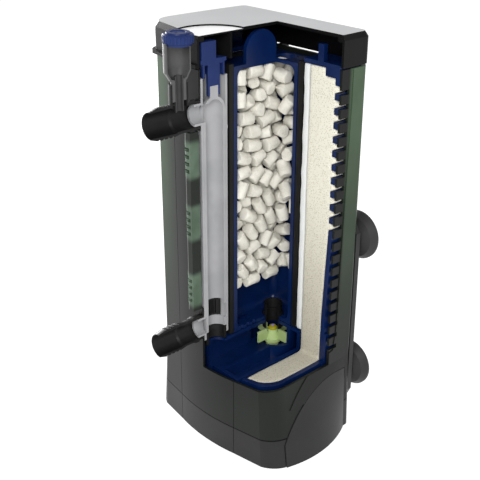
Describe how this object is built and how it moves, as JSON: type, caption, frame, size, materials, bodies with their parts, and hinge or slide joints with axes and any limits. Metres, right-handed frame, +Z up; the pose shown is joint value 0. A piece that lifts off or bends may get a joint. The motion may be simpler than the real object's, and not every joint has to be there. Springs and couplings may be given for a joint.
{
  "type": "internal power filter",
  "caption": "Tall internal aquarium power filter shown as a cutaway, with swivelling outlets, flow selector, media cartridge, side foams, pump and a suction-cup bracket.",
  "frame": {"origin": "middle of the flat bottom of the base", "axes": "+Z up, -Y towards the outlet nozzles, +Y towards the suction cups, +X towards the cut-away side"},
  "size_m": [0.146, 0.152, 0.3094],
  "materials": {
    "smoke_green": "smoky green translucent moulding, glossy",
    "dark_grey_plastic": "fine satin moulded texture",
    "lid_grey": "glossy light grey top over dark moulding",
    "black_plastic": "satin black",
    "light_grey_plastic": "satin light grey",
    "blue_plastic": "satin blue",
    "navy_plastic": "satin navy",
    "ceramic": "unglazed sintered ceramic",
    "filter_foam": "open-cell cream foam",
    "white_fleece": "white filter fleece",
    "pale_green_plastic": "pale green moulding",
    "yellow_plastic": "yellow moulding",
    "ferrite": "sintered ferrite",
    "shaft_ceramic": "polished ceramic",
    "rubber": "soft black rubber",
    "steel": "plain steel",
    "copper_winding": "enamelled copper wire"
  },
  "bodies": {
    "casing": {"base_housing": "dark_grey_plastic", "base_plate": "dark_grey_plastic", "base_screws": "steel", "body_shell": "smoke_green", "cable_gland": "rubber", "ceramic_media": "ceramic", "coil_left": "copper_winding", "coil_right": "copper_winding", "deck_seal": "rubber", "fleece_left": "white_fleece", "fleece_right": "white_fleece", "foam_frame_left": "navy_plastic", "foam_frame_right": "navy_plastic", "foam_pad_left": "filter_foam", "foam_pad_right": "filter_foam", "front_partition": "black_plastic", "grille_bar": "smoke_green", "impeller_shaft": "shaft_ceramic", "intake_neck": "black_plastic", "lid_hinge_pins": "steel", "lower_bush": "rubber", "media_cartridge": "navy_plastic", "motor_can": "black_plastic", "pump_deck": "navy_plastic", "riser_bush": "black_plastic", "riser_sleeve": "light_grey_plastic", "side_partition_left": "black_plastic", "side_partition_right": "black_plastic", "stator_core": "steel"},
    "lid_assembly": {"lid": "lid_grey"},
    "diverter": {"selector_knob": "blue_plastic", "diverter_tube": "light_grey_plastic", "port_screen": "black_plastic"},
    "top_outlet": {"top_nozzle": "black_plastic", "venturi_cup": "dark_grey_plastic", "venturi_tube": "light_grey_plastic"},
    "air_dial": {"venturi_dial": "blue_plastic"},
    "low_outlet": {"bottom_nozzle": "black_plastic"},
    "rotor": {"impeller": "pale_green_plastic", "impeller_cap": "yellow_plastic", "impeller_magnet": "ferrite"},
    "hanger": {"rear_bracket": "dark_grey_plastic", "suction_cup_left_high": "rubber", "suction_cup_left_low": "rubber", "suction_cup_right_high": "rubber", "suction_cup_right_low": "rubber"},
    "catch_left": {"foot_wing_left": "dark_grey_plastic"},
    "catch_right": {"foot_wing_right": "dark_grey_plastic"}
  },
  "joints": [
    {"name": "lid_hinge", "type": "hinge", "parent": "casing", "child": "lid_assembly", "pos_m": [0, 0.051, 0.2846], "axis": [-1, 0, 0], "range_deg": [0, 100]},
    {"name": "selector_turn", "type": "hinge", "parent": "casing", "child": "diverter", "pos_m": [0, -0.0358, 0.2], "axis": [0, 0, 1], "range_deg": [0, 180]},
    {"name": "top_nozzle_swivel", "type": "hinge", "parent": "casing", "child": "top_outlet", "pos_m": [0, -0.05, 0.254], "axis": [0, 1, 0], "range_deg": [-25, 25]},
    {"name": "air_dial_turn", "type": "hinge", "parent": "top_outlet", "child": "air_dial", "pos_m": [0, -0.0643, 0.303], "axis": [0, 0, 1], "range_deg": [0, 270]},
    {"name": "bottom_nozzle_swivel", "type": "hinge", "parent": "casing", "child": "low_outlet", "pos_m": [0, -0.05, 0.0965], "axis": [0, 1, 0], "range_deg": [-45, 45]},
    {"name": "rotor_spin", "type": "hinge", "parent": "casing", "child": "rotor", "pos_m": [0, 0.022, 0.05], "axis": [0, 0, 1], "continuous": true},
    {"name": "bracket_slide", "type": "slide", "parent": "casing", "child": "hanger", "axis": [0, 0, 1], "range_m": [-0.01, 0]},
    {"name": "catch_left_pull", "type": "slide", "parent": "casing", "child": "catch_left", "axis": [-1, 0, 0], "range_m": [0, 0.004]},
    {"name": "catch_right_pull", "type": "slide", "parent": "casing", "child": "catch_right", "axis": [1, 0, 0], "range_m": [0, 0.004]}
  ]
}
